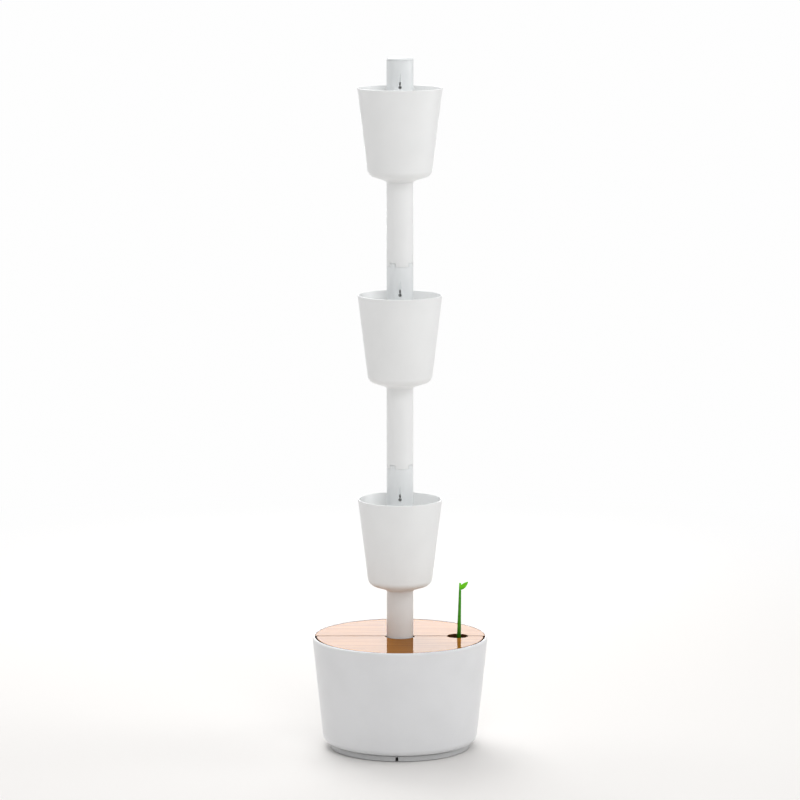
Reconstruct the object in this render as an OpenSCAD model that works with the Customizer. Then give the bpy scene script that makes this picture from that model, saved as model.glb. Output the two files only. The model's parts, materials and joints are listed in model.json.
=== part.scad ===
// Vertical self-watering planter: three pots stacked on a column over a water tank.
// Millimetres, +Z up, front towards -Y. The origin is on the floor under the column.

/* [Tank] */
// Outer radius of the tank at its rim
tank_r = 155; // [148:1:175]
// Height of the tank rim above the floor
tank_h = 200; // [185:1:230]
// Lean of the tank wall, in degrees
tank_draft = 5.9; // [4:0.1:7]
// Thickness of the tank wall
tank_wall = 3.2; // [2.6:0.1:4]
// Radius of the rounded corner under the tank
tank_corner = 13; // [10:0.5:16]
// Width of the flat rim around the lid
rim_w = 3.8; // [3.4:0.1:5]
// Radius of the rim's rounded shoulder
rim_round = 3.4; // [2:0.1:3.4]
// Height of the tank's inner floor
tank_floor = 40; // [38:0.5:48]
// Thickness of the tank's inner floor
floor_t = 3; // [2:0.1:4]
// Width of the ledge that carries the lid, past the gap around it
ledge_w = 5.5; // [3:0.5:9]

/* [Foot] */
// Distance of the foot's edge inside the tank's wall
foot_inset = 12; // [11:0.5:15]
// Height of the foot skirt
foot_h = 10; // [9.4:0.1:11]
// Height of the shadow groove between foot and tank
groove_h = 1.5; // [1:0.1:2.5]
// Depth of the shadow groove
groove_d = 2.5; // [1:0.1:4]
// Thickness of the base plate and its walls
plate_t = 3; // [2.4:0.1:3.6]
// Width of the ring between the foot's edge and the opening in the tank's underside
service_w = 11.5; // [10.5:0.5:13]
// Distance of the cable slot to the left of the centre line
slot_x = 5.5; // [0:0.5:10]
// Width of the cable slot at the floor
slot_w = 5.6; // [4.5:0.1:8]

/* [Lid] */
// Thickness of the wooden lid
lid_t = 8; // [6:0.5:9]
// Depth of the lid's top below the rim
lid_recess = 1.5; // [0.5:0.1:4]
// Gap between the front half and the rim, wide enough for a fingertip to lift it
lid_gap = 3.6; // [2:0.1:5]
// Gap between the rear half and the rim
rear_gap = 0.5; // [0.4:0.1:1]
// Gap between the two halves of the lid
split_gap = 2; // [0.8:0.1:3]
// Radius of the front half's corners in plan
lid_corner = 5; // [2:0.5:8]
// Gap between the front half and the column
collar_gap = 2.6; // [1:0.1:5]
// Gap between the rear half and the column
rear_collar = 0.6; // [0.5:0.1:1]

/* [Water gauge] */
// Distance between the gauge hole and the tank's rim
gauge_edge = 34.6; // [32:0.1:42]
// Radius of the gauge hole
gauge_r = 18.4; // [18:0.1:20]
// Radius of the level float
float_r = 16.6; // [15:0.1:16.8]
// Height of the level float
float_h = 24; // [18:1:30]
// Distance that the float sinks from full to empty
float_travel = 90; // [60:1:95]
// Wall of the float guide
guide_wall = 2; // [1.6:0.1:2.4]
// Height of the sprout above the lid
sprout_h = 97; // [94:1:110]
// Radius of the sprout's stem at the lid
sprout_r = 3.5; // [2.5:0.1:4]
// Length of the leaf
leaf_len = 14; // [10:0.5:14.5]
// Width of the leaf
leaf_w = 5.6; // [3:0.1:8]

/* [Pots] */
// Outer radius of a pot at its rim
pot_r = 75; // [68:1:85]
// Depth of a pot's tapered wall
pot_depth = 143; // [125:1:150]
// Lean of the pot wall, in degrees
pot_draft = 7.2; // [5:0.1:8]
// Thickness of the pot wall
pot_wall = 2.6; // [2:0.1:3.4]
// Radius of the rounded corner under a pot
pot_corner = 16; // [10:0.5:20]
// Slope of the funnel under a pot, in degrees
funnel_slope = 24; // [16:1:28]
// Radius of the fillet between funnel and stem
hub_fillet = 5; // [3:0.5:8]
// Height of the bottom pot's rim above the floor
first_rim = 446; // [436:1:470]
// Height from one pot's rim to the next
pitch = 362; // [350:1:390]

/* [Column] */
// Outer radius of the column
tube_r = 23.5; // [22.5:0.1:24.5]
// Wall of the column
tube_wall = 2.5; // [2.2:0.1:2.7]
// Height of the bottom column's joint above its pot's rim
bottom_rise = 56; // [45:1:60]
// Height of the middle column's joint above its pot's rim
middle_rise = 51; // [45:1:60]
// Height of the top column's end above its pot's rim
top_rise = 48; // [42:1:60]
// Thickness of the top cap
cap_t = 4.5; // [4.2:0.1:8]
// Radius of the top cap's rounded edge
cap_round = 4; // [2:0.1:4]
// Height of the post's joint above the delivery hose
joint_rise = 20; // [18:1:30]
// Length of the spigot above a joint
spigot_l = 25; // [24:1:32]
// Width of a key lug
key_w = 9.6; // [7:0.1:12]
// Height of a key lug
key_h = 6.2; // [4:0.1:8]
// Turn of the first key lug from the right, in degrees
key_turn = 55; // [50:1:60]

/* [Drip outlet] */
// Height of the drop-shaped outlet above the pot's rim
drip_z = 2; // [0:0.5:6]
// Radius of the outlet's drop
drip_r = 2.9; // [2:0.1:3.5]
// Radius of the groove above the drop
groove_r = 1.9; // [1.2:0.1:2.4]
// Length of the groove above the drop
groove_l = 25; // [15:1:30]

/* [Water way] */
// Outer radius of the riser pipe
pipe_r = 5; // [4.6:0.1:5.4]
// Bore radius of the riser pipe
pipe_bore = 3.2; // [2.5:0.1:3.6]
// Outer radius of the delivery hose
hose_r = 6; // [5.6:0.1:6.4]
// Inner radius of the delivery hose
hose_bore = 4; // [3.8:0.1:4.4]
// Bend radius of the delivery hose
hose_bend = 30; // [24:1:32]
// Length of the hose's upright start at the pump
hose_rise = 10; // [9:1:14]
// Distance of the pump from the column's axis
pump_x = 80; // [76:1:84]
// Radius of the pump's round motor block
motor_r = 19; // [18:0.5:20]
// Length of the motor block
motor_l = 36; // [34:1:40]
// Height of the suction cups
cup_h = 10; // [9:0.5:12]
// Outer radius of the impeller
impeller_r = 13.4; // [12:0.1:13.8]
// Number of impeller blades
blades = 6; // [4:1:8]
// Radius of the pump lead
lead_r = 2.4; // [2:0.1:2.6]

/* [Control] */
// Length of the control board, left to right
board_l = 80; // [78:1:86]
// Width of the control board, front to back
board_w = 56; // [52:1:60]
// Thickness of the control board
board_t = 1.6; // [1:0.1:2]
// Radius of the pairing button
button_r = 5; // [4:0.1:6]
// Travel of the pairing button
button_travel = 1; // [0.5:0.1:1.2]

/* [Hidden] */
$fn = 96;
// Overlap of a cut past the face it opens
cut = 1;
// Gap at rest between pieces that part
seat_gap = 0.3;
// Gap between pieces that are fixed together
fit_gap = 0.1;

// Unit vector at an angle
function dir(a) = [cos(a), sin(a)];
// Points along an arc from angle a to angle b
function arc(c, r, a, b, n = 8) = [for (i = [0:n]) c + r * dir(a + (b - a) * i / n)];

// Tank, in radius and height
tank_z = foot_h + groove_h;
function tank_out(z) = tank_r - (tank_h - z) * tan(tank_draft);
function tank_in(z) = tank_out(z) - tank_wall / cos(tank_draft);
corner_z = tank_z + tank_corner;
corner_c = [tank_out(corner_z) - tank_corner / cos(tank_draft), corner_z];
roof_z = tank_floor - floor_t;
basin_corner = 4;
basin_z = tank_floor + basin_corner;
basin_c = [tank_in(basin_z) - basin_corner / cos(tank_draft), basin_z];
flange_t = tank_wall;
flange_top = tank_z + flange_t;
rim_in = tank_r - rim_w;
foot_r = tank_out(tank_z) - foot_inset;
service_r = foot_r - service_w;
gauge_x = tank_r - gauge_edge - gauge_r;

// Lid
lid_top = tank_h - lid_recess;
lid_z = lid_top - lid_t;
ledge_z = lid_z - seat_gap;
ledge_t = 3;
ledge_in = rim_in - lid_gap - ledge_w;
rear_corner = 1;
ledge_foot = ledge_z - ledge_t - (tank_in(ledge_z) - ledge_in);

// Foot and compartment
plate_z = foot_h - plate_t;
foot_edge = 1.5;
skirt_gap = 0.8;
skirt_in = foot_r - plate_t;
spigot_in = service_r - 0.4;
spigot_h = 6;
foot_pad_r = 9;
foot_pads = 4;
pad_ring = service_r - foot_pad_r - 6;
pad_edge = 1;
slot_lean = 0.7;
slot_top = plate_z + 1.6;

// Screws and their bosses
screw_r = 1.5;
screw_gap = 0.2;
head_r = 2.8;
head_h = 2;
head_edge = 0.6;
head_gap = 0.3;
drive_l = 3;
drive_w = 0.8;
drive_d = 0.9;
boss_r = 3.6;
boss_floor = 2;
blind_boss_h = 7;
plate_screws_n = 6;
plate_screw_ring = (service_r + foot_r - groove_d) / 2;
plate_screw_l = 12;
plate_boss_h = 12;
post_screws_n = 4;
post_screw_ring = tube_r + 9.5;
post_screw_l = 11;
guide_screws_n = 3;
guide_screw_l = 10;
board_screw_l = 8;

// Power pocket
pocket_w = 24;
pocket_front = -service_r + 7;
pocket_l = 37;
pocket_back = pocket_front + pocket_l;
board_z = foot_h + 10.5;
jack_w = 11;
jack_l = 14;
jack_h = 10;
jack_z = board_z - jack_h / 2;
pocket_top = jack_z + pocket_w / 4 + plate_t;
jack_nose = 4.4;
jack_bore = 2.9;
jack_pin = 1;
jack_depth = 9;

// Board
board_y = pocket_back + plate_t + 1;
board_x = -board_l / 2 - 4;
post_inset = 5;
board_post_r = 3.4;
radio = [18, 25, 3];
radio_at = [board_x + board_l - 30, board_y + 12];
capacitor_r = 4;
capacitor_h = 6;
capacitor_at = [board_x + 26, board_y + 14];
lead_plug = [9, 7, 6];
lead_plug_y = board_y + 34;

// Pairing button and the switch above it
switch_w = 6;
switch_h = 3.5;
button_x = 20;
button_y = board_y + board_w - 14;
button_edge = 0.6;
button_inset = 0.2;
button_rim = 2;
button_rim_t = 1.5;
button_stem_r = 1.6;
button_slack = 0.2;
collar_h = 2;
collar_r = button_r + button_rim + seat_gap;
collar_wall = 2.2;

// Pump, placed by the axis of its rotor
pump_z = tank_floor + cup_h + motor_r;
volute_r = impeller_r + 3;
volute_w = 16;
volute_bore = impeller_r + 1;
volute_wall = 2;
well_r = 8.8;
well_l = motor_l - 8;
magnet_r = 8;
magnet_gap = 1;
blade_t = 1.4;
blade_gap = 1.6;
rotor_gap = 2;
hub_out = 3.4;
shaft_r = 1.2;
shaft_bore = shaft_r + 0.05;
shaft_seat = 4;
shaft_play = 0.2;
cover_r = volute_r + 2;
cover_t = 3;
cover_lip = 1;
cover_seat = 2;
cover_spokes = 3;
cover_spoke_w = 2;
intake_r = 8;
intake_hub_r = 3;
outlet_r = hose_bore - fit_gap;
outlet_bore = 2.8;
outlet_z = pump_z + motor_r;
shoulder = 2;
bend_z = outlet_z + shoulder + hose_rise;
inlet_z = bend_z + hose_bend;
hose_overlap = hose_rise - 1;
hose_end = pipe_r + 1;
post_joint = inlet_z + joint_rise;
grille_l = 16;
grille_wall = 2;
grille_slots = 5;
grille_slot_w = 2;
grille_pitch = 5;
grille_rib = 4;
cup_foot_r = 6.6;
cup_stem_r = 2.6;
cup_hollow = 1.6;
cup_edge = 0.8;
cup_neck = 4;
cup_x = 12;
cup_y = [volute_w / 2 + 6, volute_w / 2 + motor_l - 8];
lead_z = pump_z - 9;
lead_bend = 10;
lead_fit = 0.05;
strain_l = 4;
strain_wall = 2;
strain_seat = 2;
gland_y = volute_w / 2 + motor_l + strain_l + 6 + lead_bend;
gland_nut_r = 8;
gland_nut_h = 5;
gland_cone_h = 4;
gland_cone_wall = 1.4;
gland_back_h = 3;
gland_body_r = 6;
lead_run_z = board_z + board_t + 3.3;
lead_turn = roof_z - gland_back_h - lead_run_z - 0.6;

// Pots, with the rim's plane at zero
pot_rim_c = [pot_r - pot_wall / 2, -pot_wall / 2];
pot_out = dir(-pot_draft);
pot_down = dir(-90 - pot_draft);
pot_run = (pot_depth - pot_wall / 2 * (1 + sin(pot_draft))) / cos(pot_draft);
pot_tangent = pot_rim_c + pot_wall / 2 * pot_out + pot_run * pot_down;
pot_corner_c = pot_tangent - pot_corner * pot_out;
funnel_out = dir(funnel_slope - 90);
funnel_start = pot_corner_c + pot_corner * funnel_out;
hub_r = tube_r + hub_fillet;
hub_z = funnel_start[1]
    + (sin(funnel_slope) * (hub_r - funnel_start[0]) - hub_fillet) / cos(funnel_slope);
funnel_in = pot_corner_c + (pot_corner - pot_wall) * funnel_out;
function funnel_z(r) = funnel_in[1] - (funnel_in[0] - r) * tan(funnel_slope);
function pot_in(z) = pot_tangent[0] + (z - pot_tangent[1]) * tan(pot_draft) - pot_wall / cos(pot_draft);

// Column and its joints
bore_r = tube_r - tube_wall;
seat_r = tube_r + 0.8;
seat_z = funnel_z(seat_r);
plug_l = 22;
clip_t = 3;
clip_z = seat_z - plug_l - clip_t;
clip_ledge = 2;
plug_wall = 2.3;
plug_r = bore_r - fit_gap;
plug_bore = plug_r - plug_wall;
spigot_r = bore_r - seat_gap;
spigot_bore = spigot_r - plug_wall;
spigot_edge = 1;
taper_near = 4;
taper_far = 7;
key_gap = 0.7;
key_r = tube_r - 0.5;
keys = 4;
drains = 4;
drain_w = 6;
drain_h = 6;
drain_z = 1;
drip_wall = 0.3;
cap_plug_l = 18;
cap_plug_wall = 2;
post_flange_r = post_screw_ring + 7;
post_flange_t = 4;
arch_w = 12;
arch_rise = 2;
arch_h = 14;
window_w = 2 * hose_r + 4;

// Rims of the three pots, and the joint below and above each
rims = [first_rim, first_rim + pitch, first_rim + 2 * pitch];
rises = [bottom_rise, middle_rise, top_rise];
function joint_above(i) = rims[i] + rises[i];
function joint_below(i) = i == 0 ? post_joint : joint_above(i - 1);

// Riser pipe, its cup over the pipe below, and its seal
tip_rise = 20;
tip_gap = 1;
cup_low = 5;
cup_top = tip_rise + tip_gap + 3;
cup_bore = pipe_r + seat_gap;
seal_r = 0.9;
seal_z = cup_low + 4;
seal_c = pipe_r + 0.25 + seal_r;
seal_seat_r = seal_c + seal_r + 0.05;
cup_r = seal_seat_r + 0.9;
seal_groove = 2.1;
nozzle_r = 2.6;
nozzle_bore = 1.2;
nozzle_l = plug_bore - 0.6;
dead_end = 8;
dead_end_t = 2;
clip_wall = 3;
spokes = 3;
spoke_w = 3;
inlet_tip = bore_r - 5;

// Soil grate
grate_t = 2.5;
grate_lift = 8;
grate_z = grate_lift - pot_depth;
grate_in = tube_r + 0.5;
grate_out = pot_in(grate_z) - seat_gap;
grate_slots = 20;
grate_slot_w = 3;
grate_rim = 5;
grate_leg_r = 3;
grate_legs = 4;
grate_leg_ring = (grate_in + grate_out) / 2;
grate_leg_gap = 0.2;

// Float, its guide and the sprout
guide_bore = float_r + 0.6;
guide_r = guide_bore + guide_wall;
guide_top = ledge_z - 6;
guide_lip = 2.4;
guide_lip_in = 12;
guide_screw_ring = guide_r + head_r + 0.4;
guide_flange_r = guide_screw_ring + head_r + 0.3;
guide_flange_t = 3;
guide_slot_w = 5;
guide_slot_low = tank_floor + guide_flange_t + 4;
guide_slot_high = guide_top - guide_lip - 4;
float_top = guide_top - guide_lip - seat_gap;
float_z = float_top - float_h;
float_edge = 2;
stop_r = 12;
stop_wall = 2.5;
stop_h = float_z - float_travel - seat_gap - tank_floor;
fin_w = 3.6;
fin_reach = 1.4;
fin_inset = 5;
sprout_low_x = gauge_x + 2.4;
sprout_tip_x = gauge_x + 4.5;
sprout_tip_r = 1.4;
sprout_lean = (sprout_tip_x - sprout_low_x) / sprout_h;
sprout_taper = (sprout_r - sprout_tip_r) / sprout_h;
sprout_peg_r = 3;
sprout_peg_l = 10;
leaf_root = sprout_h - 11;
leaf_tilt = 45;
leaf_t = 2.4;
leaf_x = 2.6;
leaf_z = 0.4;
stalk_tilt = 53;
stalk_low = -1.6;
stalk_l = 5;
stalk_r = [1.3, 0.9];

// Copies of the children around the Z axis
module ring(n, r, turn = 0) {
    for (i = [0:n - 1]) rotate([0, 0, turn + 360 * i / n]) translate([r, 0, 0]) children();
}

// Round bar along Z between two heights
module bar(r, low, high) {
    translate([0, 0, low]) cylinder(r = r, h = high - low);
}

// Pan head screw with its head's seat at zero, its shank below and a cross recess
module screw(length) {
    translate([0, 0, -length]) cylinder(r = screw_r - fit_gap, h = length + head_h / 2);
    difference() {
        rotate_extrude() polygon(concat(
            [[0, 0], [head_r, 0]],
            [for (a = [0:18:72]) [head_r * cos(a), head_edge + (head_h - head_edge) * sin(a)]],
            [[0, head_h]]
        ));
        for (a = [0, 90]) rotate([0, 0, a])
            translate([-drive_l / 2, -drive_w / 2, head_h - drive_d])
                cube([drive_l, drive_w, drive_d + cut]);
    }
}

// Places of the screws
module post_holes() ring(post_screws_n, post_screw_ring, 45) children();

module guide_holes() translate([gauge_x, 0, 0]) ring(guide_screws_n, guide_screw_ring) children();

module plate_holes() ring(plate_screws_n, plate_screw_ring, 30) children();

// Tank

module water_tank() color("whitesmoke") {
    difference() {
        union() {
            rotate_extrude($fn = 180) polygon(concat(
                [[0, roof_z], [tank_in(roof_z), roof_z]],
                arc(corner_c, tank_corner - tank_wall, -tank_draft, -90),
                [[service_r, flange_top], [service_r, tank_z]],
                arc(corner_c, tank_corner, -90, -tank_draft),
                arc([tank_r - rim_round, tank_h - rim_round], rim_round, -tank_draft, 90),
                [[rim_in, tank_h], [rim_in, ledge_z], [ledge_in, ledge_z]],
                [[ledge_in, ledge_z - ledge_t], [tank_in(ledge_foot), ledge_foot]],
                arc(basin_c, basin_corner, -tank_draft, -90),
                [[0, tank_floor]]
            ));
            // Stop under the float, on the tank floor
            translate([gauge_x, 0, 0]) bar(stop_r, tank_floor - cut, tank_floor + stop_h);
            // Blind bosses for the post and the guide, under the floor
            post_holes() bar(boss_r, roof_z - blind_boss_h, roof_z + cut);
            guide_holes() bar(boss_r, roof_z - blind_boss_h, roof_z + cut);
            // Bosses for the base plate, on the bottom flange
            plate_holes() bar(boss_r, flange_top - cut, flange_top + plate_boss_h);
        }
        translate([gauge_x, 0, 0]) bar(stop_r - stop_wall, tank_floor, tank_floor + stop_h + cut);
        post_holes() bar(screw_r, roof_z - blind_boss_h + boss_floor, tank_floor + cut);
        guide_holes() bar(screw_r, roof_z - blind_boss_h + boss_floor, tank_floor + cut);
        plate_holes() bar(screw_r, tank_z - cut, flange_top + plate_boss_h - boss_floor);
        translate([-pump_x, gland_y, 0])
            bar(gland_body_r + fit_gap, roof_z - cut, tank_floor + cut);
    }
}

// Base plate with foot skirt

module base_plate() color("gainsboro") {
    difference() {
        union() {
            rotate_extrude($fn = 180) polygon(concat(
                [[0, plate_z], [skirt_in, plate_z], [skirt_in, skirt_gap]],
                arc([foot_r - foot_edge, skirt_gap + foot_edge], foot_edge, -90, 0, 4),
                [[foot_r, foot_h], [foot_r - groove_d, foot_h], [foot_r - groove_d, tank_z]],
                [[spigot_in, tank_z], [spigot_in, foot_h + spigot_h]],
                [[spigot_in - plate_t, foot_h + spigot_h], [spigot_in - plate_t, foot_h]],
                [[0, foot_h]]
            ));
            // Raised pocket for the power plug
            translate([-slot_x - pocket_w / 2 - plate_t, pocket_front - plate_t, plate_z])
                cube([pocket_w + 2 * plate_t, pocket_l + 2 * plate_t, pocket_top - plate_z]);
            // Posts for the control board
            board_holes() bar(board_post_r, plate_z, board_z);
            // Collar round the pairing button
            translate([button_x, button_y, 0]) bar(collar_r + collar_wall, plate_z, foot_h + collar_h);
        }
        translate([-slot_x - pocket_w / 2, pocket_front, -cut])
            cube([pocket_w, pocket_l, pocket_top - plate_t + cut]);
        // Socket's hole in the pocket's rear wall
        translate([-slot_x, pocket_back + plate_t / 2, jack_z]) rotate([90, 0, 0])
            cylinder(r = jack_nose + fit_gap, h = plate_t + 2 * cut, center = true);
        // Cable slot in the skirt, narrower at its top
        translate([-slot_x, -skirt_in + plate_t, 0]) rotate([90, 0, 0])
            linear_extrude(height = 3 * plate_t) polygon([
                [-slot_w / 2, -cut], [slot_w / 2, -cut],
                [slot_w / 2 - slot_lean, slot_top], [slot_lean - slot_w / 2, slot_top]
            ]);
        board_holes() bar(screw_r, plate_z + plate_t, board_z + cut);
        plate_holes() {
            bar(screw_r + screw_gap, plate_z - cut, tank_z + cut);
            bar(head_r + head_gap, plate_z - cut, plate_z + head_h + screw_gap);
        }
        translate([button_x, button_y, 0]) {
            bar(button_r + seat_gap, plate_z - cut, foot_h + collar_h + cut);
            bar(collar_r, foot_h, foot_h + collar_h + cut);
        }
    }
}

module rubber_feet() color("dimgray") {
    ring(foot_pads, pad_ring, 45) rotate_extrude() polygon(concat(
        [[0, 0]], arc([foot_pad_r - pad_edge, pad_edge], pad_edge, -90, 0, 4),
        [[foot_pad_r, plate_z], [0, plate_z]]
    ));
}

module plate_screws() color("silver") {
    plate_holes() translate([0, 0, plate_z + head_h + screw_gap]) rotate([180, 0, 0])
        screw(plate_screw_l);
}

// Lid

// Outline of a half lid in front of the split, with its corners rounded
function half_round(r, corner) = let (
    low = split_gap / 2 + corner,
    side = sqrt(pow(r - corner, 2) - low * low),
    turn = asin(low / (r - corner))
) concat(
    arc([-side, -low], corner, 90, 180 + turn, 6),
    arc([0, 0], r, 180 + turn, 360 - turn, 90),
    arc([side, -low], corner, -turn, 90, 6)
);

module lid_half(gap, corner, collar) {
    difference() {
        translate([0, 0, lid_z]) linear_extrude(height = lid_t)
            polygon(half_round(rim_in - gap, corner));
        bar(tube_r + collar, lid_z - cut, lid_top + cut);
        translate([gauge_x, 0, 0]) bar(gauge_r, lid_z - cut, lid_top + cut);
    }
}

module lid_front() color("burlywood") lid_half(lid_gap, lid_corner, collar_gap);

module lid_back() color("burlywood") mirror([0, 1, 0]) lid_half(rear_gap, rear_corner, rear_collar);

// Column post in the tank

// Four key lugs around a spigot, standing on a joint at zero
module key_lugs() {
    intersection() {
        difference() {
            cylinder(r = key_r, h = key_h);
            translate([0, 0, -cut]) cylinder(r = spigot_r - cut, h = key_h + 2 * cut);
        }
        ring(keys, bore_r, key_turn) translate([-tube_wall, -key_w / 2, 0])
            cube([3 * tube_wall, key_w, key_h]);
    }
}

module column_post() color("whitesmoke") {
    flange_top_z = tank_floor + post_flange_t;
    difference() {
        rotate_extrude() polygon([
            [bore_r, tank_floor], [post_flange_r, tank_floor], [post_flange_r, flange_top_z],
            [tube_r, flange_top_z], [tube_r, post_joint],
            [spigot_r, post_joint], [spigot_r, post_joint + spigot_l - spigot_edge],
            [spigot_r - spigot_edge, post_joint + spigot_l], [spigot_bore, post_joint + spigot_l],
            [spigot_bore, post_joint - taper_near], [bore_r, post_joint - taper_far]
        ]);
        // Return arches at the foot
        for (a = [0:90:270]) rotate([0, 0, a]) translate([0, 0, flange_top_z + arch_rise]) {
            translate([0, -arch_w / 2, 0]) cube([tube_r + cut, arch_w, arch_h - arch_w / 2]);
            translate([0, 0, arch_h - arch_w / 2]) rotate([0, 90, 0])
                cylinder(r = arch_w / 2, h = tube_r + cut);
        }
        // Window for the delivery hose
        translate([0, 0, inlet_z]) rotate([0, -90, 0]) cylinder(r = window_w / 2, h = tube_r + cut);
        post_holes() bar(screw_r + screw_gap, tank_floor - cut, flange_top_z + cut);
    }
    translate([0, 0, post_joint]) key_lugs();
}

module post_screws() color("silver") {
    post_holes() translate([0, 0, tank_floor + post_flange_t]) screw(post_screw_l);
}

// Water way

// Pipe's spring clip: a ring with spokes that centres the pipe in a bore
module clip(low, high) {
    difference() {
        bar(bore_r - fit_gap, low, high);
        bar(bore_r - clip_wall, low - cut, high + cut);
    }
    ring(spokes, pipe_r - cut) translate([0, -spoke_w / 2, low])
        cube([bore_r - clip_wall - pipe_r + 2 * cut, spoke_w, high - low]);
}

module base_riser() color("lightgray") {
    difference() {
        union() {
            bar(pipe_r, tank_floor, post_joint + tip_rise);
            clip(tank_floor, tank_floor + clip_t);
            translate([0, 0, inlet_z]) rotate([0, -90, 0]) cylinder(r = outlet_r, h = inlet_tip);
        }
        bar(pipe_bore, inlet_z - pipe_bore, post_joint + tip_rise + cut);
        translate([0, 0, inlet_z]) rotate([0, -90, 0]) cylinder(r = outlet_bore, h = bore_r);
    }
}

module delivery_hose() color("lightsteelblue") {
    difference() {
        hose_body(hose_r, 0);
        hose_body(hose_bore, cut);
    }
}

// Hose's route: up from the pump, a quarter bend, then level to the riser
module hose_body(r, extra) {
    translate([-pump_x, 0, 0]) bar(r, outlet_z + shoulder - extra, bend_z);
    translate([hose_bend - pump_x, 0, bend_z]) rotate([90, 0, 0])
        rotate_extrude(angle = 90, start = 90) translate([hose_bend, 0]) circle(r = r);
    translate([hose_bend - pump_x, 0, inlet_z]) rotate([0, 90, 0])
        cylinder(r = r, h = pump_x - hose_bend - hose_end + extra);
}

// Pump, drawn with its rotor axis along Y

// Round bar along the rotor's axis between two places on Y
module pump_bar(r, front, back) {
    translate([-pump_x, back, pump_z]) rotate([90, 0, 0]) cylinder(r = r, h = back - front);
}

module pump_housing() color("dimgray") {
    volute_y = volute_w / 2;
    back_y = volute_y + motor_l;
    difference() {
        union() {
            pump_bar(motor_r, volute_y - volute_wall, back_y);
            translate([-pump_x - motor_r, volute_y - volute_wall, pump_z - motor_r])
                cube([2 * motor_r, motor_l + volute_wall, motor_r]);
            pump_bar(volute_r, -volute_y, volute_y);
            translate([-pump_x, 0, 0]) {
                bar(outlet_r + shoulder, pump_z, outlet_z);
                bar(outlet_r, outlet_z - cut, outlet_z + shoulder + hose_overlap);
            }
            // Strain relief of the lead
            translate([-pump_x, back_y + strain_l, lead_z]) rotate([90, 0, 0])
                cylinder(r = lead_r + strain_wall, h = strain_l + cut);
        }
        pump_bar(volute_bore, -volute_y - cut, volute_y - volute_wall);
        pump_bar(well_r, 0, volute_y + well_l);
        pump_bar(shaft_r, 0, volute_y + well_l + shaft_seat);
        translate([-pump_x, 0, 0])
            bar(outlet_bore, pump_z, outlet_z + shoulder + hose_overlap + cut);
        translate([-pump_x, back_y + strain_l + cut, lead_z]) rotate([90, 0, 0])
            cylinder(r = lead_r, h = strain_l + strain_seat + cut);
    }
}

module pump_cover() color("gray") {
    front = -volute_w / 2;
    difference() {
        union() {
            pump_bar(cover_r, front - cover_t, front);
            pump_bar(volute_bore - fit_gap, front - cut, front + cover_lip);
        }
        // Inlet round the shaft's seat, crossed by spokes
        difference() {
            pump_bar(intake_r, front - cover_t - cut, front + cover_lip + cut);
            pump_bar(intake_hub_r, front - cover_t - 2 * cut, front + cover_lip + 2 * cut);
            translate([-pump_x, front, pump_z]) rotate([90, 0, 0]) ring(cover_spokes, 0, 90)
                translate([0, -cover_spoke_w / 2, -2 * cover_t])
                    cube([intake_r + cut, cover_spoke_w, 4 * cover_t]);
        }
        pump_bar(shaft_r, front - cover_seat, front + cover_lip + cut);
    }
}

module pump_rotor() color("steelblue") {
    front = -volute_w / 2 + rotor_gap;
    back = volute_w / 2 - volute_wall - blade_gap;
    blade_in = hub_out - 0.8;
    difference() {
        union() {
            pump_bar(impeller_r, back - blade_t, back);
            pump_bar(hub_out, front, back);
            translate([-pump_x, back, pump_z]) rotate([90, 0, 0]) ring(blades, blade_in)
                translate([0, -blade_t / 2, 0])
                    cube([impeller_r - blade_in - 0.6, blade_t, back - front]);
            pump_bar(magnet_r, back - cut, volute_w / 2 + well_l - magnet_gap);
        }
        pump_bar(shaft_bore, front - cut, volute_w / 2 + well_l);
    }
}

module rotor_shaft() color("ivory")
    pump_bar(shaft_r - 0.02, -volute_w / 2 - cover_seat + shaft_play,
        volute_w / 2 + well_l + shaft_seat - shaft_play);

module intake_grille() color("dimgray") {
    back = -volute_w / 2 - cover_t;
    front = back - grille_l;
    difference() {
        pump_bar(cover_r, front, back);
        pump_bar(cover_r - grille_wall, front + grille_wall, back + cut);
        // Level slots through the front face and the sides
        for (i = [0:grille_slots - 1])
            translate([-pump_x - cover_r - cut, front - cut,
                pump_z + (i - (grille_slots - 1) / 2) * grille_pitch - grille_slot_w / 2])
                cube([2 * cover_r + 2 * cut, grille_l - grille_rib + cut, grille_slot_w]);
    }
}

module intake_sponge() color("darkslategray") {
    back = -volute_w / 2 - cover_t - seat_gap;
    front = back - grille_l + grille_wall + 2 * seat_gap;
    pump_bar(cover_r - grille_wall - seat_gap, front, back);
}

module suction_cups() color("darkslategray") {
    for (x = [-cup_x, cup_x], y = cup_y)
        translate([x - pump_x, y, tank_floor]) rotate_extrude() polygon([
            [0, cup_hollow], [cup_foot_r - 1, 0], [cup_foot_r, 0], [cup_foot_r, cup_edge],
            [cup_stem_r, cup_neck], [cup_stem_r, cup_h], [0, cup_h]
        ]);
}

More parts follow.
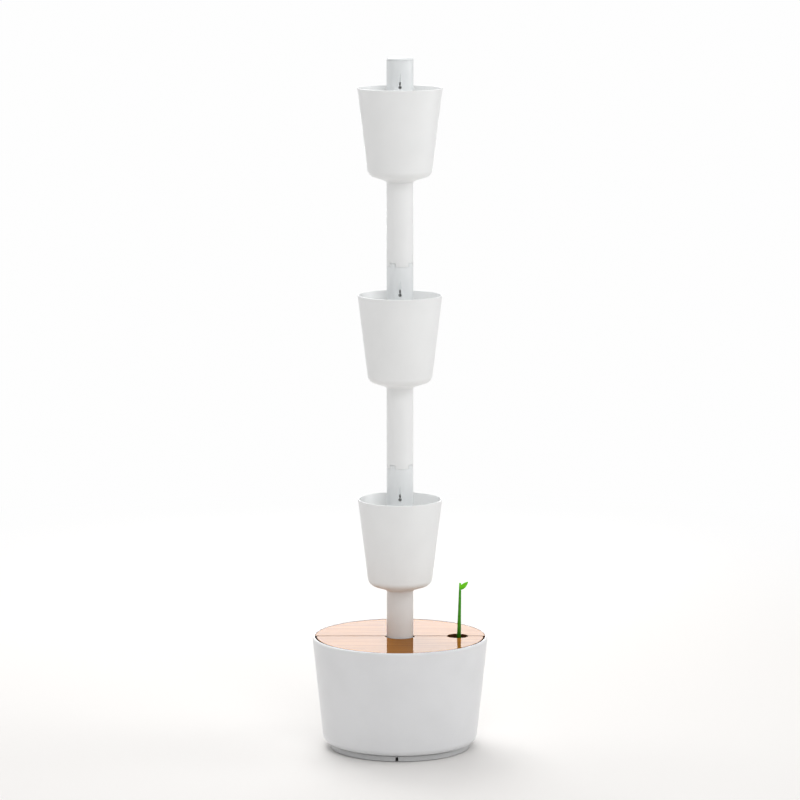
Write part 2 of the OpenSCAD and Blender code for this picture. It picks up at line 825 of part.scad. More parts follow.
// Lead from the pump down through the gland, then forward and in to the board
module pump_lead() color("black") {
    start_y = volute_w / 2 + motor_l;
    fall_y = gland_y - lead_bend;
    plug_y = lead_plug_y + lead_plug[1] / 2;
    core_r = lead_r - lead_fit;
    translate([-pump_x, fall_y, lead_z]) rotate([90, 0, 0])
        cylinder(r = core_r, h = fall_y - start_y);
    translate([-pump_x, fall_y, lead_z - lead_bend]) rotate([90, 0, 90])
        rotate_extrude(angle = 90) translate([lead_bend, 0]) circle(r = core_r);
    translate([-pump_x, gland_y, 0]) bar(core_r, lead_run_z + lead_turn, lead_z - lead_bend);
    translate([-pump_x, gland_y - lead_turn, lead_run_z + lead_turn]) rotate([90, 0, 90])
        rotate_extrude(angle = 90, start = 270) translate([lead_turn, 0]) circle(r = core_r);
    translate([-pump_x, gland_y - lead_turn, lead_run_z]) rotate([90, 0, 0])
        cylinder(r = core_r, h = gland_y - plug_y - 2 * lead_turn);
    translate([lead_turn - pump_x, plug_y + lead_turn, lead_run_z])
        rotate_extrude(angle = 90, start = 180) translate([lead_turn, 0]) circle(r = core_r);
    translate([lead_turn - pump_x, plug_y, lead_run_z]) rotate([0, 90, 0])
        cylinder(r = core_r, h = board_x - fit_gap + pump_x - lead_turn);
}

module cable_gland() color("black") {
    cone_z = tank_floor + gland_nut_h;
    back_z = roof_z - gland_back_h;
    translate([-pump_x, gland_y, 0]) difference() {
        union() {
            translate([0, 0, tank_floor]) cylinder(r = gland_nut_r, h = gland_nut_h, $fn = 6);
            translate([0, 0, cone_z])
                cylinder(r1 = gland_body_r, r2 = lead_r + gland_cone_wall, h = gland_cone_h);
            bar(gland_body_r, back_z, tank_floor + cut);
            translate([0, 0, back_z]) cylinder(r = gland_nut_r, h = gland_back_h, $fn = 6);
        }
        bar(lead_r + lead_fit, back_z - cut, cone_z + gland_cone_h + cut);
    }
}

// Water gauge

module float_guide() color("whitesmoke") {
    translate([gauge_x, 0, 0]) difference() {
        rotate_extrude() polygon([
            [guide_bore, tank_floor], [guide_flange_r, tank_floor],
            [guide_flange_r, tank_floor + guide_flange_t], [guide_r, tank_floor + guide_flange_t],
            [guide_r, guide_top], [guide_lip_in, guide_top],
            [guide_lip_in, guide_top - guide_lip], [guide_bore, guide_top - guide_lip]
        ]);
        // Long slots that let the water in and steer the float's fins
        for (a = [0:90:270]) rotate([0, 0, a])
            translate([guide_bore - 2 * cut, -guide_slot_w / 2, guide_slot_low])
                cube([guide_wall + 4 * cut, guide_slot_w, guide_slot_high - guide_slot_low]);
        ring(guide_screws_n, guide_screw_ring)
            bar(screw_r + screw_gap, tank_floor - cut, tank_floor + guide_flange_t + cut);
    }
}

module guide_screws() color("silver") {
    guide_holes() translate([0, 0, tank_floor + guide_flange_t]) screw(guide_screw_l);
}

module level_float() color("ghostwhite") {
    translate([gauge_x, 0, float_z]) difference() {
        union() {
            rotate_extrude() polygon(concat(
                [[0, 0]], arc([float_r - float_edge, float_edge], float_edge, -90, 0, 4),
                arc([float_r - float_edge, float_h - float_edge], float_edge, 0, 90, 4),
                [[0, float_h]]
            ));
            for (a = [90, 270]) rotate([0, 0, a])
                translate([float_r - float_edge, -fin_w / 2, fin_inset])
                    cube([float_edge + fin_reach, fin_w, float_h - 2 * fin_inset]);
        }
        translate([sprout_foot_x() - gauge_x, 0, float_h - sprout_peg_l])
            cylinder(r = sprout_peg_r + fit_gap, h = sprout_peg_l + cut);
    }
}

// Place of the sprout's axis where it meets the float
function sprout_foot_x() = sprout_low_x - (lid_top - float_top) * sprout_lean;
function sprout_r_at(z) = sprout_r - (z - lid_top) * sprout_taper;

module sprout() color("yellowgreen") {
    top_z = lid_top + sprout_h;
    translate([sprout_foot_x(), 0, float_top - sprout_peg_l + fit_gap])
        cylinder(r = sprout_peg_r, h = sprout_peg_l);
    translate([sprout_foot_x(), 0, float_top + fit_gap])
        rotate([0, atan(sprout_lean), 0])
            cylinder(r1 = sprout_r_at(float_top), r2 = sprout_tip_r, h = top_z - float_top);
    translate([sprout_low_x + leaf_root * sprout_lean, 0, lid_top + leaf_root]) leaf();
}

// Almond blade with domed faces on a short stalk, pointing up to the right
module leaf() {
    lens_r = (pow(leaf_len / 2, 2) + pow(leaf_w / 2, 2)) / leaf_w;
    face_r = (pow(leaf_w / 2, 2) + pow(leaf_t / 2, 2)) / leaf_t;
    translate([0, 0, stalk_low]) rotate([0, stalk_tilt, 0])
        cylinder(r1 = stalk_r[0], r2 = stalk_r[1], h = stalk_l);
    translate([leaf_x, 0, leaf_z]) rotate([0, leaf_tilt, 0]) intersection() {
        intersection_for(s = [-1, 1])
            translate([s * (lens_r - leaf_w / 2), 0, leaf_len / 2]) rotate([90, 0, 0])
                cylinder(r = lens_r, h = leaf_w, center = true);
        intersection_for(s = [-1, 1])
            translate([0, s * (face_r - leaf_t / 2), 0]) cylinder(r = face_r, h = leaf_len);
    }
}

// Control board and power socket

module board_holes() {
    for (x = [board_x + post_inset, board_x + board_l - post_inset],
        y = [board_y + post_inset, board_y + board_w - post_inset])
        translate([x, y, 0]) children();
}

module control_board() color("seagreen") {
    top = board_z + board_t;
    difference() {
        translate([board_x, board_y, board_z]) cube([board_l, board_w, board_t]);
        board_holes() bar(screw_r + screw_gap, board_z - cut, top + cut);
    }
    // Plug of the pump lead, radio module, capacitor, and the switch over the button
    translate([board_x, lead_plug_y, top]) cube(lead_plug);
    translate([radio_at[0], radio_at[1], top]) cube(radio);
    translate([capacitor_at[0], capacitor_at[1], 0]) bar(capacitor_r, top, top + capacitor_h);
    translate([button_x - switch_w / 2, button_y - switch_w / 2, board_z - switch_h])
        cube([switch_w, switch_w, switch_h]);
}

module board_screws() color("silver")
    board_holes() translate([0, 0, board_z + board_t]) screw(board_screw_l);

module power_socket() color("black") {
    wall_y = pocket_back + plate_t;
    translate([-slot_x, 0, jack_z]) {
        difference() {
            union() {
                translate([-jack_w / 2, wall_y, -jack_h / 2]) cube([jack_w, jack_l, jack_h]);
                translate([0, wall_y + cut, 0]) rotate([90, 0, 0])
                    cylinder(r = jack_nose, h = plate_t + cut);
            }
            translate([0, pocket_back + jack_depth, 0]) rotate([90, 0, 0])
                cylinder(r = jack_bore, h = jack_depth + cut);
        }
        translate([0, pocket_back + jack_depth + cut, 0]) rotate([90, 0, 0])
            cylinder(r = jack_pin, h = jack_depth);
    }
}

module pair_button() color("gray") {
    low = plate_z - button_edge - button_inset;
    seat = foot_h + seat_gap;
    rim_r = button_r + button_rim;
    tip = board_z - switch_h - button_travel - button_slack;
    translate([button_x, button_y, 0]) rotate_extrude() polygon([
        [0, low], [button_r - button_edge, low], [button_r, low + button_edge],
        [button_r, seat], [rim_r, seat], [rim_r, seat + button_rim_t],
        [button_stem_r, seat + button_rim_t], [button_stem_r, tip], [0, tip]
    ]);
}

// Pots and columns, drawn with the pot's rim at zero

module pot(i) {
    foot = joint_below(i) + seat_gap - rims[i];
    notch_w = key_w + 2 * key_gap;
    translate([0, 0, rims[i]]) difference() {
        rotate_extrude($fn = 144) polygon(concat(
            arc(pot_rim_c, pot_wall / 2, 180 - pot_draft, -pot_draft),
            arc(pot_corner_c, pot_corner, -pot_draft, funnel_slope - 90),
            arc([hub_r, hub_z], hub_fillet, 90 + funnel_slope, 180, 6),
            [[tube_r, foot], [bore_r, foot], [bore_r, clip_z - 2 * clip_ledge]],
            [[bore_r - clip_ledge, clip_z - clip_ledge], [bore_r - clip_ledge, clip_z]],
            [[bore_r, clip_z], [bore_r, seat_z], [seat_r, seat_z]],
            arc(pot_corner_c, pot_corner - pot_wall, funnel_slope - 90, -pot_draft)
        ));
        // Key notches in the stem's lower edge
        ring(keys, bore_r, key_turn) translate([-tube_wall, -notch_w / 2, foot - cut])
            cube([3 * tube_wall, notch_w, key_h + key_gap - seat_gap + cut]);
    }
}

module column(i) {
    top = rises[i];
    spigot = [
        [spigot_r, top], [spigot_r, top + spigot_l - spigot_edge],
        [spigot_r - spigot_edge, top + spigot_l], [spigot_bore, top + spigot_l],
        [spigot_bore, top - taper_near], [bore_r, top - taper_far]
    ];
    translate([0, 0, rims[i]]) {
        difference() {
            rotate_extrude() polygon(concat(
                [[plug_r, seat_z - plug_l], [plug_r, seat_z], [tube_r, seat_z], [tube_r, top]],
                i < 2 ? spigot : [[bore_r, top]],
                [[bore_r, seat_z + taper_far], [plug_bore, seat_z + taper_near]],
                [[plug_bore, seat_z - plug_l]]
            ));
            drip_outlet();
            // Drains at the lowest place of the pot's floor
            ring(drains, bore_r, 45) translate([-2 * tube_wall, -drain_w / 2, seat_z + drain_z])
                cube([4 * tube_wall, drain_w, drain_h]);
        }
        if (i < 2) translate([0, 0, top]) key_lugs();
    }
}

// Drop-shaped outlet: a round hole under a groove that fades out upwards
module drip_outlet() {
    lean = atan((groove_r + tube_wall - drip_wall) / groove_l);
    translate([0, 0, drip_z]) rotate([90, 0, 0]) cylinder(r = drip_r, h = tube_r + cut);
    translate([0, -tube_r - groove_r, drip_z + groove_l]) rotate([180 + lean, 0, 0])
        cylinder(r = groove_r, h = groove_l / cos(lean) + cut);
}

module grate(i) {
    slot_l = grate_out - grate_in - 2 * grate_rim;
    leg_z = funnel_z(grate_leg_ring + grate_leg_r) + grate_leg_gap;
    translate([0, 0, rims[i]]) difference() {
        union() {
            bar(grate_out, grate_z, grate_z + grate_t);
            ring(grate_legs, grate_leg_ring, 45) bar(grate_leg_r, leg_z, grate_z + cut);
        }
        bar(grate_in, grate_z - cut, grate_z + grate_t + cut);
        ring(grate_slots, grate_in + grate_rim)
            translate([0, -grate_slot_w / 2, grate_z - cut])
                cube([slot_l, grate_slot_w, grate_t + 2 * cut]);
    }
}

module riser(i) {
    low = joint_below(i);
    drip = rims[i] + drip_z;
    tip = i < 2 ? joint_above(i) + tip_rise : drip + dead_end;
    clip_low = rims[i] + clip_z;
    difference() {
        union() {
            bar(cup_r, low + cup_low, low + cup_top);
            bar(pipe_r, low + tip_rise, tip);
            clip(clip_low, clip_low + clip_t);
            translate([0, 0, drip]) rotate([90, 0, 0]) cylinder(r = nozzle_r, h = nozzle_l);
        }
        bar(cup_bore, low + cup_low - cut, low + tip_rise + tip_gap);
        bar(pipe_bore, low + tip_rise, i < 2 ? tip + cut : tip - dead_end_t);
        translate([0, 0, drip]) rotate([90, 0, 0]) cylinder(r = nozzle_bore, h = tube_r);
        translate([0, 0, low + seal_z]) bar(seal_seat_r, -seal_groove / 2, seal_groove / 2);
    }
}

module seal(i) {
    translate([0, 0, joint_below(i) + seal_z]) rotate_extrude() translate([seal_c, 0])
        circle(r = seal_r, $fn = 32);
}

module top_cap() color("whitesmoke") {
    low = joint_above(2) + seat_gap;
    plug = bore_r - seat_gap;
    rotate_extrude() polygon(concat(
        [[0, low + cap_t]], arc([tube_r - cap_round, low + cap_t - cap_round], cap_round, 90, 0),
        [[tube_r, low], [plug, low], [plug, low - cap_plug_l]],
        [[plug - cap_plug_wall, low - cap_plug_l], [plug - cap_plug_wall, low], [0, low]]
    ));
}

module bottom_pot() color("whitesmoke") pot(0);
module bottom_column() color("whitesmoke") column(0);
module bottom_grate() color("gainsboro") grate(0);
module bottom_riser() color("lightgray") riser(0);
module bottom_seal() color("black") seal(0);

module middle_pot() color("whitesmoke") pot(1);
module middle_column() color("whitesmoke") column(1);
module middle_grate() color("gainsboro") grate(1);
module middle_riser() color("lightgray") riser(1);
module middle_seal() color("black") seal(1);

module top_pot() color("whitesmoke") pot(2);
module top_column() color("whitesmoke") column(2);
module top_grate() color("gainsboro") grate(2);
module top_riser() color("lightgray") riser(2);
module top_seal() color("black") seal(2);

water_tank();
base_plate();
rubber_feet();
plate_screws();
lid_front();
lid_back();
column_post();
post_screws();
base_riser();
delivery_hose();
pump_housing();
pump_cover();
pump_rotor();
rotor_shaft();
intake_grille();
intake_sponge();
suction_cups();
pump_lead();
cable_gland();
float_guide();
guide_screws();
level_float();
sprout();
control_board();
board_screws();
power_socket();
pair_button();
bottom_pot();
bottom_column();
bottom_grate();
bottom_riser();
bottom_seal();
middle_pot();
middle_column();
middle_grate();
middle_riser();
middle_seal();
top_pot();
top_column();
top_grate();
top_riser();
top_seal();
top_cap();
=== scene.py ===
# Vertical self-watering planter: finishes, turned pots, lid halves, sprout, light and camera round the
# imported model.
# Everything is in metres. Patterns are sized in millimetres and read the object's own coordinates.
import bpy
import bmesh
import json
import math
from mathutils import Matrix, Vector


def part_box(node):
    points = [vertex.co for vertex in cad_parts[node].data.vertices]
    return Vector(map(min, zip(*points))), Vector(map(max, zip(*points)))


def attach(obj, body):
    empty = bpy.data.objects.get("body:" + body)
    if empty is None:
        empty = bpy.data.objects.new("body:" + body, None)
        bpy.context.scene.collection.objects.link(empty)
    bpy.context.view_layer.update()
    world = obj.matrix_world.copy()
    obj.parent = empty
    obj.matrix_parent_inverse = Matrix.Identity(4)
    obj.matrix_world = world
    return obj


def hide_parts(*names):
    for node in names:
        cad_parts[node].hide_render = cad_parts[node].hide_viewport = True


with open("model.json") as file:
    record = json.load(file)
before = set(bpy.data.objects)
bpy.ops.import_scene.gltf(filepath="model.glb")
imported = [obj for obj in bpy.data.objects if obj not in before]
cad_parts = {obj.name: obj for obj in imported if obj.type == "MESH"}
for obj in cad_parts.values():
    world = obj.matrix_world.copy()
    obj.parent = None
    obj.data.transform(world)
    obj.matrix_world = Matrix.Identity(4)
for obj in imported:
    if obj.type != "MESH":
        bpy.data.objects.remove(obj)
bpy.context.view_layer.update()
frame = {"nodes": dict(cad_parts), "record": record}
nodes = frame["nodes"]
print("loaded", len(nodes), "nodes")


# small helpers

def linear(hexCode):
    # hex colour as written on screen, to the linear values that shaders take
    parts = [int(hexCode[i:i + 2], 16) / 255 for i in (1, 3, 5)]
    return tuple(c / 12.92 if c <= 0.04045 else ((c + 0.055) / 1.055) ** 2.4 for c in parts) + (1.0,)


def addNode(tree, kind, inputs=None, **settings):
    # makes a node; an input is a plain value or another node's output
    node = tree.nodes.new(kind)
    for name, value in settings.items():
        setattr(node, name, value)
    for name, value in (inputs or {}).items():
        if isinstance(value, bpy.types.NodeSocket):
            tree.links.new(value, node.inputs[name])
        else:
            node.inputs[name].default_value = value
    return node


def newMaterial(name):
    material = bpy.data.materials.new(name)
    material.use_nodes = True
    material.node_tree.nodes.clear()
    return material, material.node_tree


def finishMaterial(tree, shader):
    output = addNode(tree, "ShaderNodeOutputMaterial")
    tree.links.new(shader.outputs[0], output.inputs["Surface"])


def ramp(tree, value, stops):
    # colour ramp from (place, linear colour) pairs
    node = addNode(tree, "ShaderNodeValToRGB", {"Fac": value})
    elements = node.color_ramp.elements
    while len(elements) < len(stops):
        elements.new(0.5)
    for element, (place, colour) in zip(elements, stops):
        element.position = place
        element.color = colour
    return node.outputs["Color"]


def span(tree, value, low, high):
    # spreads a 0 to 1 pattern between two values
    node = addNode(tree, "ShaderNodeMapRange", {"Value": value, "To Min": low, "To Max": high})
    return node.outputs["Result"]


def noise(tree, place, size, detail):
    # cloudy pattern from 0 to 1, its size in millimetres where the place is in metres
    node = addNode(tree, "ShaderNodeTexNoise", {"Vector": place, "Scale": 1000 / size, "Detail": detail})
    return node.outputs["Fac"]


def bumpMap(tree, height, strength, depth):
    # dents the shading by a depth in millimetres
    node = addNode(tree, "ShaderNodeBump", {"Height": height, "Strength": strength, "Distance": depth / 1000})
    return node.outputs["Normal"]


# moulded plastic: satin skin with slow colour drift, fine peel in the gloss, and tool marks

mouldedLooks = {
    # painted shade: the tank's white is set darker than the pots' white, standing in for the lesser light on
    # its front
    "white_shell": {"colour": "#e5e6e8", "drift": 0.012, "rough": (0.26, 0.36), "peel": 1.6,
        "depth": 0.010, "marks": 0.0},
    "pot_white": {"colour": "#f1f2f2", "drift": 0.010, "rough": (0.34, 0.46), "peel": 0.9,
        "depth": 0.014, "marks": 0.0},
    "column_white": {"colour": "#eceff0", "drift": 0.010, "rough": (0.24, 0.36), "peel": 1.1,
        "depth": 0.008, "marks": 0.010},
    # painted shade: the foot's grey is darker than its plastic, standing in for the shade under the tank's
    # overhang
    "foot_grey": {"colour": "#c8c9ca", "drift": 0.015, "rough": (0.36, 0.48), "peel": 0.8,
        "depth": 0.015, "marks": 0.0},
    "float_white": {"colour": "#e9ecec", "drift": 0.020, "rough": (0.40, 0.55), "peel": 0.7,
        "depth": 0.020, "marks": 0.0},
    "guide_dark": {"colour": "#35383a", "drift": 0.030, "rough": (0.32, 0.45), "peel": 0.8,
        "depth": 0.015, "marks": 0.0},
    "grate_grey": {"colour": "#c9cbca", "drift": 0.020, "rough": (0.40, 0.52), "peel": 0.8,
        "depth": 0.020, "marks": 0.0},
    "pipe_grey": {"colour": "#b9bcbd", "drift": 0.020, "rough": (0.28, 0.40), "peel": 0.9,
        "depth": 0.010, "marks": 0.012},
    "pump_grey": {"colour": "#4b4e51", "drift": 0.030, "rough": (0.36, 0.50), "peel": 0.6,
        "depth": 0.025, "marks": 0.0},
    "rotor_blue": {"colour": "#2f6c9c", "drift": 0.030, "rough": (0.30, 0.42), "peel": 0.6,
        "depth": 0.015, "marks": 0.0},
    "black_plastic": {"colour": "#1c1d1e", "drift": 0.040, "rough": (0.34, 0.46), "peel": 0.5,
        "depth": 0.020, "marks": 0.0},
}


def mouldedPlastic(slotName, look):
    material, tree = newMaterial(slotName)
    place = addNode(tree, "ShaderNodeTexCoord").outputs["Object"]
    base = linear(look["colour"])
    dark = tuple(c * (1 - 3 * look["drift"]) for c in base[:3]) + (1.0,)
    # resin mixes unevenly, so the tone drifts over about 60 mm
    drift = noise(tree, place, 60, 3.0)
    colour = ramp(tree, drift, [(0.30, dark), (0.62, base)])
    # polish left by the mould varies over about 15 mm
    polish = noise(tree, place, 15, 4.0)
    rough = span(tree, polish, *look["rough"])
    # fine orange peel that breaks up the reflections
    peel = noise(tree, place, look["peel"], 2.0)
    height = peel
    if look["marks"]:
        # draw lines run along an extruded tube
        drawn = addNode(tree, "ShaderNodeMapping", {"Vector": place, "Scale": (900.0, 900.0, 4.0)})
        lines = noise(tree, drawn.outputs["Vector"], 1000, 1.0)
        added = addNode(tree, "ShaderNodeMath", {0: lines, 1: 0.6}, operation="MULTIPLY")
        height = addNode(tree, "ShaderNodeMath", {0: height, 1: added.outputs[0]}, operation="ADD").outputs[0]
    bump = bumpMap(tree, height, 0.35, look["depth"])
    shader = addNode(tree, "ShaderNodeBsdfPrincipled", {
        "Base Color": colour, "Roughness": rough, "Normal": bump, "IOR": 1.49})
    finishMaterial(tree, shader)
    return material


# lid: laser-cut bamboo board, grain left to right, gloss lacquer, scorched cut edges that are also painted
# dark as painted shade in the gaps and the gauge hole

lidLook = {
    "light": "#ad7430", "mid": "#9f6624", "dark": "#90591d", "pore": "#7c4614",
    "scorchAndShade": "#3c2416", "charAndShade": "#5c3a22", "stripWidth": 11.0, "fibreWidth": 0.9, "fibreShare": 0.5,
    "lacquer": 0.06, "cutRough": 0.6, "index": 1.05,
}


def lacqueredWood(slotName, look):
    material, tree = newMaterial(slotName)
    coords = addNode(tree, "ShaderNodeTexCoord")
    place = coords.outputs["Object"]
    # glued strips across the board, each with its own tone
    strips = addNode(tree, "ShaderNodeMapping", {
        "Vector": place, "Scale": (3.2, 1000 / look["stripWidth"], 0.0)})
    wander = addNode(tree, "ShaderNodeTexNoise", {
        "Vector": strips.outputs["Vector"], "Scale": 1.0, "Detail": 2.0, "Roughness": 0.55})
    # long fibres inside the strips
    fibres = addNode(tree, "ShaderNodeMapping", {
        "Vector": place, "Scale": (14.0, 1000 / look["fibreWidth"], 40.0)})
    fibre = addNode(tree, "ShaderNodeTexNoise", {
        "Vector": fibres.outputs["Vector"], "Scale": 1.0, "Detail": 5.0, "Roughness": 0.6, "Distortion": 0.3})
    blend = addNode(tree, "ShaderNodeMix", {
        "Factor": look["fibreShare"], "A": wander.outputs["Fac"], "B": fibre.outputs["Fac"]})
    tone = ramp(tree, blend.outputs["Result"], [
        (0.28, linear(look["pore"])), (0.41, linear(look["dark"])),
        (0.53, linear(look["mid"])), (0.68, linear(look["light"]))])
    # the beam scorches the cut edge, which is every face that stands upright; its dark brown is also painted
    # shade, standing in for the shade down the gaps round the lid halves and inside the gauge hole
    facing = addNode(tree, "ShaderNodeSeparateXYZ", {"Vector": coords.outputs["Normal"]})
    upright = addNode(tree, "ShaderNodeMath", {0: facing.outputs["Z"]}, operation="ABSOLUTE")
    cutFace = addNode(tree, "ShaderNodeMapRange", {
        "Value": upright.outputs[0], "From Min": 0.35, "From Max": 0.8, "To Min": 1.0, "To Max": 0.0})
    edgeMottle = noise(tree, place, 4, 3.0)
    charAndShade = ramp(tree, edgeMottle, [(0.3, linear(look["scorchAndShade"])), (0.75, linear(look["charAndShade"]))])
    colour = addNode(tree, "ShaderNodeMix", {"Factor": cutFace.outputs["Result"], "A": tone, "B": charAndShade},
                     data_type="RGBA")
    # lacquer levels well: only a long, shallow ripple and the faintest print of the grain
    ripple = noise(tree, place, 25, 1.0)
    bump = bumpMap(tree, ripple, 0.25, 0.15)
    grainBump = addNode(tree, "ShaderNodeBump", {"Height": fibre.outputs["Fac"], "Strength": 0.18,
                                                 "Distance": 0.00004, "Normal": bump})
    gloss = addNode(tree, "ShaderNodeMapRange", {
        "Value": cutFace.outputs["Result"], "To Min": look["lacquer"], "To Max": look["cutRough"]})
    shader = addNode(tree, "ShaderNodeBsdfPrincipled", {
        "Base Color": colour.outputs["Result"], "Roughness": gloss.outputs["Result"],
        "Normal": grainBump.outputs["Normal"], "IOR": look["index"]})
    finishMaterial(tree, shader)
    return material


# sprout: glossy dyed plastic, leaf a little lighter than the stem

# the root colour is painted shade where the stem meets the lid
sproutLook = {
    "stem": "#3b960c", "root": "#095400", "leaf": "#74da08", "vein": "#58b010", "rootHeight": 0.1985,
}


def dyedSprout(slotName, look, high):
    material, tree = newMaterial(slotName)
    place = addNode(tree, "ShaderNodeTexCoord").outputs["Object"]
    height = addNode(tree, "ShaderNodeSeparateXYZ", {"Vector": place})
    # painted shade: the stem is darker at its foot by the lid, standing in for the shade near the hole; above
    # it the stem tone rises to the lighter leaf
    level = addNode(tree, "ShaderNodeMapRange", {
        "Value": height.outputs["Z"], "From Min": look["rootHeight"], "From Max": high})
    tone = ramp(tree, level.outputs["Result"], [
        (0.0, linear(look["root"])), (0.25, linear(look["stem"])), (0.86, linear(look["stem"])),
        (0.92, linear(look["leaf"])), (1.0, linear(look["leaf"]))])
    cloud = noise(tree, place, 6, 3.0)
    colour = addNode(tree, "ShaderNodeMix", {
        "Factor": span(tree, cloud, 0.0, 0.3), "A": tone, "B": linear(look["vein"])},
        data_type="RGBA")
    rough = span(tree, cloud, 0.22, 0.34)
    fine = noise(tree, place, 0.9, 2.0)
    bump = bumpMap(tree, fine, 0.3, 0.01)
    shader = addNode(tree, "ShaderNodeBsdfPrincipled", {
        "Base Color": colour.outputs["Result"], "Roughness": rough, "Normal": bump, "IOR": 1.33,
        "Subsurface Weight": 0.12, "Subsurface Radius": (0.002, 0.004, 0.001), "Subsurface Scale": 0.5})
    finishMaterial(tree, shader)
    return material


# rubber and cable skins: soft, dusty, with a fine pebble

softLooks = {
    "dark_rubber": {"colour": "#2b2c2d", "rough": (0.62, 0.82), "pebble": 0.5, "depth": 0.03},
    "black_cable": {"colour": "#17181a", "rough": (0.45, 0.60), "pebble": 0.3, "depth": 0.01},
}


def softSkin(slotName, look):
    material, tree = newMaterial(slotName)
    place = addNode(tree, "ShaderNodeTexCoord").outputs["Object"]
    base = linear(look["colour"])
    dusty = tuple(min(1.0, c * 1.8 + 0.01) for c in base[:3]) + (1.0,)
    dust = noise(tree, place, 12, 4.0)
    colour = ramp(tree, dust, [(0.42, base), (0.8, dusty)])
    pebble = addNode(tree, "ShaderNodeTexVoronoi", {"Vector": place, "Scale": 1000 / look["pebble"]})
    bump = bumpMap(tree, pebble.outputs["Distance"], 0.4, look["depth"])
    shader = addNode(tree, "ShaderNodeBsdfPrincipled", {
        "Base Color": colour, "Roughness": span(tree, dust, *look["rough"]),
        "Normal": bump})
    finishMaterial(tree, shader)
    return material


def siliconeHose(slotName):
    # milky silicone: light passes into the wall and comes out soft
    material, tree = newMaterial(slotName)
    place = addNode(tree, "ShaderNodeTexCoord").outputs["Object"]
    milk = noise(tree, place, 20, 3.0)
    colour = ramp(tree, milk, [(0.35, linear("#c3cdd0")), (0.7, linear("#dfe6e7"))])
    skin = noise(tree, place, 1.5, 2.0)
    bump = bumpMap(tree, skin, 0.3, 0.01)
    shader = addNode(tree, "ShaderNodeBsdfPrincipled", {
        "Base Color": colour, "Roughness": span(tree, milk, 0.3, 0.45),
        "Normal": bump, "Subsurface Weight": 0.3, "Subsurface Radius": (0.004, 0.004, 0.004),
        "Subsurface Scale": 1.0, "IOR": 1.41})
    finishMaterial(tree, shader)
    return material


def filterFoam(slotName):
    # open-cell foam: round pores of about 0.8 mm, painted darker inside as painted shade
    material, tree = newMaterial(slotName)
    place = addNode(tree, "ShaderNodeTexCoord").outputs["Object"]
    cells = addNode(tree, "ShaderNodeTexVoronoi", {"Vector": place, "Scale": 1 / 0.0008})
    colour = ramp(tree, cells.outputs["Distance"], [(0.15, linear("#0e0f10")), (0.55, linear("#3c4043"))])
    bump = bumpMap(tree, cells.outputs["Distance"], 0.9, 0.3)
    shader = addNode(tree, "ShaderNodeBsdfPrincipled", {
        "Base Color": colour, "Roughness": 0.9, "Normal": bump})
    finishMaterial(tree, shader)
    return material


def groundCeramic(slotName):
    # ground alumina: cream, with fine rings from the wheel
    material, tree = newMaterial(slotName)
    place = addNode(tree, "ShaderNodeTexCoord").outputs["Object"]
    rings = addNode(tree, "ShaderNodeMapping", {"Vector": place, "Scale": (60.0, 5000.0, 60.0)})
    wheel = noise(tree, rings.outputs["Vector"], 1000, 2.0)
    colour = ramp(tree, wheel, [(0.35, linear("#e6e0d2")), (0.65, linear("#f2eee4"))])
    bump = bumpMap(tree, wheel, 0.3, 0.01)
    shader = addNode(tree, "ShaderNodeBsdfPrincipled", {
        "Base Color": colour, "Roughness": span(tree, wheel, 0.18, 0.3),
        "Normal": bump, "IOR": 1.76})
    finishMaterial(tree, shader)
    return material


def circuitBoard(slotName):
    # green solder mask over a faint glass weave, copper runs just showing through
    material, tree = newMaterial(slotName)
    place = addNode(tree, "ShaderNodeTexCoord").outputs["Object"]
    weaveX = addNode(tree, "ShaderNodeTexWave", {"Vector": place, "Scale": 1 / 0.004}, bands_direction="X")
    weaveY = addNode(tree, "ShaderNodeTexWave", {"Vector": place, "Scale": 1 / 0.004}, bands_direction="Y")
    weave = addNode(tree, "ShaderNodeMath", {
        0: weaveX.outputs["Fac"], 1: weaveY.outputs["Fac"]}, operation="MULTIPLY")
    runs = addNode(tree, "ShaderNodeTexBrick", {
        "Vector": place, "Scale": 1 / 0.02, "Color1": (0.0, 0.0, 0.0, 1.0), "Color2": (0.1, 0.1, 0.1, 1.0),
        "Mortar": (1.0, 1.0, 1.0, 1.0), "Mortar Size": 0.03})
    mask = ramp(tree, weave.outputs[0], [(0.2, linear("#0c4a2c")), (0.8, linear("#125a36"))])
    colour = addNode(tree, "ShaderNodeMix", {
        "Factor": runs.outputs["Fac"], "A": mask, "B": linear("#1d7448")}, data_type="RGBA")
    bump = bumpMap(tree, runs.outputs["Fac"], 0.5, 0.03)
    shader = addNode(tree, "ShaderNodeBsdfPrincipled", {
        "Base Color": colour.outputs["Result"], "Roughness": span(tree, weave.outputs[0], 0.25, 0.4),
        "Normal": bump})
    finishMaterial(tree, shader)
    return material


def rolledSteel(slotName):
    # zinc-plated screws: mottled crystals in the plating
    material, tree = newMaterial(slotName)
    place = addNode(tree, "ShaderNodeTexCoord").outputs["Object"]
    zinc = noise(tree, place, 1.2, 4.0)
    colour = ramp(tree, zinc, [(0.35, linear("#9da1a3")), (0.7, linear("#c9cccd"))])
    bump = bumpMap(tree, zinc, 0.3, 0.01)
    shader = addNode(tree, "ShaderNodeBsdfPrincipled", {
        "Base Color": colour, "Metallic": 1.0, "Roughness": span(tree, zinc, 0.25, 0.42),
        "Normal": bump})
    finishMaterial(tree, shader)
    return material


# finishes to nodes

